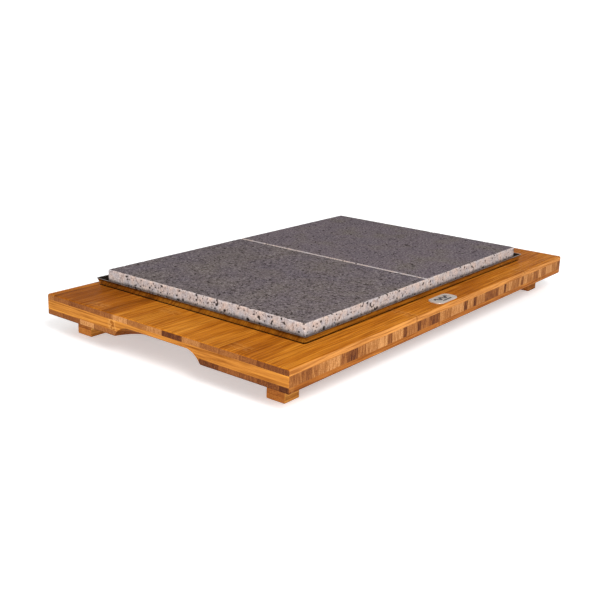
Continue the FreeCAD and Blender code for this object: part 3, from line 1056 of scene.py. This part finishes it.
@dataclass
class CubeFeet:
    """Four bamboo cubes, each screwed on from below."""

    names: tuple[str, ...] = ("foot_front_left", "foot_front_right", "foot_back_left",
                              "foot_back_right")
    screws: str = "foot_screws"
    layers: tuple[float, float] = (5.0, 8.0)
    dark_share: float = 0.0
    first_seed: int = 40
    # Painted light: the feet's flank colour and tones are paler than the board's bamboo, standing
    # for the light on the feet's faces.
    painted_flank_lighting: Colour = (0.74, 0.38, 0.10)
    face_tones: tuple[Colour, ...] = ((0.92, 0.50, 0.130), (0.78, 0.38, 0.085),
                                      (0.60, 0.25, 0.050), (0.40, 0.145, 0.025),
                                      (0.18, 0.060, 0.012))
    end_tones: tuple[Colour, ...] = ((0.70, 0.29, 0.070), (0.56, 0.21, 0.045),
                                     (0.42, 0.145, 0.031), (0.26, 0.083, 0.021),
                                     (0.12, 0.040, 0.014))

    def build(self) -> None:
        """Dress the feet and their screws."""
        for order, name in enumerate(self.names):
            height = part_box(name)[1].z / MM
            layup = random_layup(0.0, height, self.layers, self.first_seed + order,
                                 self.dark_share)
            dress(name, OiledBamboo(f"bamboo_{name}", Axis.X, Axis.Z, layup, seed=0.17 * order,
                                    knuckle=0.0, painted_flank_lighting=self.painted_flank_lighting, face_tones=self.face_tones,
                                    end_tones=self.end_tones).material())
        dress(self.screws, ZincPlate("screw_zinc").material())


# --- Tray -----------------------------------------------------------------------------------


@dataclass
class SteelTray:
    """The flared tray that carries the stones."""

    node: str = "tray"
    rim_round: float = 0.35

    def build(self) -> None:
        """Dress the tray."""
        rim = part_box(self.node)[1].z / MM
        dress(self.node, PolishedSteel("tray_steel", rim - self.rim_round).material())


# --- Stones ---------------------------------------------------------------------------------


@dataclass
class LavaSlab:
    """One slab of lava stone, with its larger pores cut into the mesh."""

    node: str
    seed: int
    joint: Side
    tone: Colour
    edge_radius: float = 1.6 * MM
    cell: float = 1.2 * MM
    side_cell: float = 0.8 * MM
    edge_lines: tuple[float, ...] = (0.25 * MM, 0.55 * MM, 0.95 * MM, 1.6 * MM)
    face_pores: int = 1300
    side_pores: int = 750
    pore_radius: tuple[float, float] = (0.65 * MM, 1.45 * MM)
    pore_depth: tuple[float, float] = (0.5 * MM, 1.1 * MM)
    pore_rarity: float = 2.2
    pore_stretch: tuple[float, float] = (1.0, 2.1)
    pore_steepness: float = 2.5
    lumps: tuple[float, float] = (5.5 * MM, 1.7 * MM)
    chip: float = 0.352 * MM
    chip_reach: float = 6.0
    edge_calm: float = 3.2
    edge_share: float = 0.15
    unevenness: float = 0.045 * MM
    whole_joint: float = 2.0 * MM
    top_band: float = 0.8 * MM
    outer_band: float = 1.7 * MM
    joint_band: float = 1.9 * MM
    random: np.random.Generator = field(init=False)

    def __post_init__(self) -> None:
        """Seed the slab's own chance."""
        self.random = np.random.default_rng(self.seed)

    def _round_edges(self, points: np.ndarray, low: np.ndarray,
                     high: np.ndarray) -> tuple[np.ndarray, np.ndarray]:
        """Round the box's edges, and find the way out at each point.

        Args:
            points: points on the box.
            low: its lowest corner.
            high: its highest corner.

        Returns:
            The new points and the outward directions.
        """
        core = np.clip(points, low + self.edge_radius, high - self.edge_radius)
        away = points - core
        away /= np.linalg.norm(away, axis=1, keepdims=True)
        return core + away * self.edge_radius, away

    def _pore_centres(self, low: np.ndarray, high: np.ndarray) -> np.ndarray:
        """Scatter pores over the top and bottom, and over the four sides.

        Args:
            low: lowest corner.
            high: highest corner.

        Returns:
            Their centres.
        """
        flat = self.random.uniform(low, high, (2 * self.face_pores, 3))
        flat[: self.face_pores, 2] = high[2]
        flat[self.face_pores:, 2] = low[2]
        sides = self.random.uniform(low, high, (self.side_pores, 3))
        spans = (high - low)[:2]
        on_x = self.random.random(self.side_pores) < spans[1] / spans.sum()
        upper = self.random.random(self.side_pores) < 0.5
        for axis, chosen in ((0, on_x), (1, ~on_x)):
            sides[chosen & upper, axis] = high[axis]
            sides[chosen & ~upper, axis] = low[axis]
        return np.concatenate([flat, sides])

    def _pit(self, points: np.ndarray, low: np.ndarray, high: np.ndarray) -> np.ndarray:
        """How deep the surface is pitted at each point.

        Args:
            points: points on the slab.
            low: lowest corner.
            high: highest corner.

        Returns:
            Depth in metres for each point.
        """
        depth = np.zeros(len(points))
        centres = self._pore_centres(low, high)
        order = np.argsort(points[:, 0])
        sorted_x = points[order, 0]
        for centre in centres:
            luck = self.random.random() ** self.pore_rarity
            radius, deepest = (small + luck * (large - small)
                               for small, large in (self.pore_radius, self.pore_depth))
            way = self.random.normal(size=3)
            way /= np.linalg.norm(way)
            drawn = self.random.uniform(*self.pore_stretch)
            reach = radius * drawn
            first, last = np.searchsorted(sorted_x, (centre[0] - reach, centre[0] + reach))
            near = order[first:last]
            offset = points[near] - centre
            close = np.abs(offset).max(axis=1) < reach
            near, offset = near[close], offset[close]
            along = offset @ way
            offset = offset - np.outer(along * (1 - 1 / drawn), way)
            share = np.clip(1 - np.linalg.norm(offset, axis=1) / radius, 0, 1)
            cut = deepest * (1 - (1 - share) ** self.pore_steepness)
            depth[near] = np.maximum(depth[near], cut)
        return depth

    def _fray(self, points: np.ndarray, away: np.ndarray) -> np.ndarray:
        """Small unevenness everywhere, and chips along the edges.

        Args:
            points: points on the slab.
            away: outward directions.

        Returns:
            Depth in metres for each point.
        """
        on_edge = 1 - np.abs(away).max(axis=1)
        coarse, fine = (np.array([noise.noise(Vector(p) / lump) for p in points])
                        for lump in self.lumps)
        chips = np.clip(coarse + 0.4 * fine - 0.05, 0, 1) * np.clip(on_edge * self.chip_reach, 0, 1)
        return self.chip * chips + self.unevenness * np.clip(fine + 0.5, 0, 1)

    def build(self) -> None:
        """Build the slab and put it in the place of its CAD node."""
        low, high = (np.array(corner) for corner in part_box(self.node))
        lines = [graded(*ends, cell, self.edge_lines)
                 for *ends, cell in zip(low, high, (self.cell, self.cell, self.side_cell))]
        flat_points, faces = box_grid(lines)
        points, away = self._round_edges(flat_points, low, high)
        joint = high[0] if self.joint is Side.RIGHT else low[0]
        from_joint = np.abs(flat_points[:, 0] - joint)
        pit = self._pit(points, low, high) * np.clip(from_joint / self.whole_joint - 0.5, 0, 1)
        on_edge = 1 - np.abs(away).max(axis=1)
        flat = np.clip(1 - self.edge_calm * on_edge, self.edge_share, 1)
        points = points - away * (pit * flat + self._fray(points, away))[:, None]
        finish = PoredLava(f"{self.node}_lava", 37.0 * self.seed, self.tone).material()
        piece = new_piece(f"{self.node}_slab", points, faces, finish)
        below = (high[2] - flat_points[:, 2]) / self.top_band
        inset = np.minimum(flat_points[:, :2] - low[:2], high[:2] - flat_points[:, :2]).min(axis=1)
        sawn = np.maximum.reduce([below, 1 - inset / self.outer_band,
                                  1.4 - from_joint / self.joint_band])
        sawn = np.clip(sawn, 0, 1)
        for name, values in (("pit", pit / self.pore_depth[1]), ("sawn", sawn)):
            layer = piece.data.attributes.new(name, "FLOAT", "POINT")
            layer.data.foreach_set("value", values.astype(np.float32))
        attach(piece, self.node)
        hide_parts(self.node)
        log.info("%s has %d faces", piece.name, len(faces))


# --- Badge ----------------------------------------------------------------------------------


@dataclass
class Badge:
    """Rounded metal plate with a raised rim and a plain wave pattern."""

    node: str = "badge"
    corner: float = 6.5 * MM
    thickness: float = 1.0 * MM
    rim: float = 1.1 * MM
    soft: float = 0.15 * MM
    field_drop: float = 0.28 * MM
    pin_radius: float = 0.8 * MM
    pin_reach: float = 12.0 * MM
    wave_length: float = 23.0 * MM
    wave_height: float = 2.2 * MM
    wave_width: float = 2.6 * MM
    wave_turns: float = 2.5
    wave_rise: float = 1.5 * MM
    bar_length: float = 16.0 * MM
    bar_width: float = 1.9 * MM
    bar_shift: tuple[float, float] = (2.0 * MM, -4.1 * MM)
    enamel: float = 0.16 * MM

    def _plate(self, centre: Vector, half: tuple[float, float]) -> bpy.types.Object:
        """The plate, from its flat back to the sunk field inside its rim.

        Args:
            centre: middle of its back.
            half: half its length and half its width.

        Returns:
            The plate.
        """
        top, soft = self.thickness, self.soft
        profile = ((0.0, 0.0), (0.0, top - 2 * soft), (soft * 0.4, top - soft), (soft * 1.2, top),
                   (self.rim - soft, top), (self.rim, top - soft * 0.6),
                   (self.rim + soft * 1.3, top - self.field_drop))
        rings = [raised(rounded_outline((half[0] - inset, half[1] - inset),
                                        self.corner - inset), height, centre)
                 for inset, height in profile]
        points, faces = loft(rings)
        return new_piece("badge_plate", points, faces, SatinPlate("badge_satin").material(),
                         smooth=False)

    def _pin(self, name: str, centre: Vector, depth: float) -> bpy.types.Object:
        """One of the pins that hold the plate in the board.

        Args:
            name: name of the pin.
            centre: middle of its upper end.
            depth: its length.

        Returns:
            The pin.
        """
        circle = rounded_outline((self.pin_radius, self.pin_radius), self.pin_radius, 4)
        levels = ((0.55, -depth), (0.9, -0.88 * depth), (1.0, -0.8 * depth), (1.0, 0.0))
        rings = [raised(circle * share, height, centre) for share, height in levels]
        points, faces = loft(rings)
        return new_piece(name, points, faces, SatinPlate("pin_satin").material())

    def _wave(self, share: float) -> tuple[float, float]:
        """Place on the wave for a share of its length."""
        return (self.wave_length * share,
                self.wave_height * math.sin(2 * math.pi * self.wave_turns * share))

    def _bar(self, share: float) -> tuple[float, float]:
        """Place on the bar for a share of its length."""
        return self.bar_length * share, 0.0

    def _ribbon(self, name: str, path: Callable[[float], tuple[float, float]], width: float,
                base: Vector, steps: int = 48) -> bpy.types.Object:
        """A flat enamelled ribbon along a path, with narrowed ends.

        Args:
            name: name of the ribbon.
            path: place in the plane for each share of the way, from 0 to 1.
            width: its width.
            base: origin of the path, on the field.
            steps: number of steps along it.

        Returns:
            The ribbon.
        """
        shares = np.linspace(0, 1, steps + 1)
        line = np.array([path(share) for share in shares])
        ahead = np.gradient(line, axis=0)
        ahead /= np.linalg.norm(ahead, axis=1, keepdims=True)
        side = np.column_stack([-ahead[:, 1], ahead[:, 0]])
        ends = np.minimum(shares, 1 - shares) * np.linalg.norm(line[-1] - line[0])
        half = width / 2 * np.sqrt(np.clip(ends / (width / 2), 0.04, 1))[:, None]
        left, right = line + side * half, line - side * half
        outline = np.concatenate([right, left[::-1]])
        points = np.concatenate([raised(outline, height, base) for height in (0.0, self.enamel)])
        count = len(shares)
        size = 2 * count
        faces: list[tuple[int, ...]] = []
        for step in range(count - 1):
            mirror = size - 1 - step
            faces.append((size + step, size + step + 1, size + mirror - 1, size + mirror))
            faces.append((step, mirror, mirror - 1, step + 1))
        for step in range(size):
            after = (step + 1) % size
            faces.append((step, after, size + after, size + step))
        return new_piece(name, points, faces, Enamel(f"{name}_enamel").material(), smooth=False)

    def build(self) -> None:
        """Build the badge and put it in the place of its CAD node."""
        low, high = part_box(self.node)
        half = ((high.x - low.x) / 2, (high.y - low.y) / 2)
        back = high.z - self.thickness
        centre = Vector(((low.x + high.x) / 2, (low.y + high.y) / 2, back))
        plate = self._plate(centre, half)
        pieces = [plate]
        for side in Side:
            foot = centre + Vector((side.value * self.pin_reach, 0, 0))
            pieces.append(self._pin(f"badge_pin_{side.name.lower()}", foot, back - low.z))
        middle = centre + Vector((0, 0, self.thickness - self.field_drop))
        wave_base = middle + Vector((-self.wave_length / 2, self.wave_rise, 0))
        bar_base = middle + Vector((self.bar_shift[0] - self.bar_length / 2, self.bar_shift[1], 0))
        pieces.append(self._ribbon("badge_wave", self._wave, self.wave_width, wave_base, 120))
        pieces.append(self._ribbon("badge_bar", self._bar, self.bar_width, bar_base))
        for piece in pieces:
            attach(piece, "board")
            log.info("%s rides on the board", piece.name)
        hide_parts(self.node)


# --- Studio ---------------------------------------------------------------------------------


@dataclass
class SoftBox:
    """A square area light that points at the set."""

    name: str
    place: tuple[float, float, float]
    aim: tuple[float, float, float]
    side: float
    power: float

    def build(self) -> None:
        """Hang the light."""
        lamp = bpy.data.lights.new(self.name, "AREA")
        lamp.shape = "SQUARE"
        lamp.size = self.side
        lamp.energy = self.power
        holder = bpy.data.objects.new(self.name, lamp)
        holder.location = self.place
        way = Vector(self.aim) - Vector(self.place)
        holder.rotation_euler = way.to_track_quat("-Z", "Y").to_euler()
        bpy.context.scene.collection.objects.link(holder)


@dataclass
class Camera:
    """The camera: where it stands round the set, and its lens."""

    azimuth: float = -52.37
    elevation: float = 16.68
    roll: float = 1.99
    distance: float = 1.049
    target: tuple[float, float, float] = (0.0, 0.0439, 0.0002)
    lens: float = 55.08
    sensor: float = 36.0
    reach: tuple[float, float] = (0.05, 60.0)

    def build(self) -> None:
        """Set the camera up."""
        turn, rise = math.radians(self.azimuth), math.radians(self.elevation)
        back = Vector((math.sin(turn) * math.cos(rise), -math.cos(turn) * math.cos(rise),
                       math.sin(rise)))
        data = bpy.data.cameras.new("camera")
        data.lens = self.lens
        data.sensor_width = self.sensor
        data.clip_start, data.clip_end = self.reach
        camera = bpy.data.objects.new("camera", data)
        facing = (-back).to_track_quat("-Z", "Y").to_matrix().to_4x4()
        roll = Matrix.Rotation(math.radians(self.roll), 4, "Z")
        stand = Matrix.Translation(Vector(self.target) + back * self.distance)
        camera.matrix_world = stand @ facing @ roll
        bpy.context.scene.collection.objects.link(camera)
        bpy.context.scene.camera = camera


@dataclass
class Studio:
    """Pale floor, a sky that is white at its foot, soft lights and the camera."""

    floor_half: float = 60.0
    sky_band: tuple[float, float] = (0.06, 0.40)
    sky_light: tuple[float, float] = (1.12, 0.50)
    lights: tuple[SoftBox, ...] = (
        SoftBox("key_light", (-0.78, -1.12, 1.17), (-0.1, -0.05, 0.04), 0.75, 21.0),
        SoftBox("left_light", (-2.0, -0.4, 0.45), (0.0, 0.0, 0.03), 0.8, 9.5),
    )

    def _sky(self) -> bpy.types.World:
        """The surroundings: white near the ground, softer overhead."""
        world = bpy.data.worlds.new("surroundings")
        world.use_nodes = True
        tree = world.node_tree
        way = tree.nodes.new("ShaderNodeTexCoord").outputs["Generated"]
        parts = tree.nodes.new("ShaderNodeSeparateXYZ")
        tree.links.new(way, parts.inputs[0])
        fade = tree.nodes.new("ShaderNodeMapRange")
        fade.interpolation_type = "SMOOTHSTEP"
        names = ("From Min", "From Max", "To Min", "To Max")
        for name, value in zip(names, (*self.sky_band, *self.sky_light)):
            fade.inputs[name].default_value = value
        tree.links.new(parts.outputs[2], fade.inputs["Value"])
        background = tree.nodes["Background"]
        background.inputs["Color"].default_value = (1.0, 1.0, 1.0, 1.0)
        tree.links.new(fade.outputs[0], background.inputs["Strength"])
        return world

    def build(self) -> None:
        """Build the studio."""
        half = self.floor_half
        corners = ((-half, -half, 0.0), (half, -half, 0.0), (half, half, 0.0), (-half, half, 0.0))
        floor = new_piece("studio_floor", corners, ((0, 1, 2, 3),),
                          PaleFloor("floor_paint").material(), smooth=False)
        bpy.context.scene.world = self._sky()
        for light in self.lights:
            light.build()
        Camera().build()
        settings = bpy.context.scene.view_settings
        settings.view_transform = "Standard"
        settings.look = "None"


def main() -> None:
    """Build the set's looks in order, and report each piece."""
    logging.basicConfig(level=logging.INFO, format="%(name)s: %(message)s")
    assemblies = (BambooBoard(), CubeFeet(), SteelTray(),
                  LavaSlab("stone_left", seed=11, joint=Side.RIGHT, tone=(0.143, 0.114, 0.118)),
                  LavaSlab("stone_right", seed=23, joint=Side.LEFT, tone=(0.158, 0.123, 0.144)),
                  Badge(), Studio())
    for assembly in assemblies:
        assembly.build()
        log.info("built %s", type(assembly).__name__)


if __name__ == "__main__":
    main()
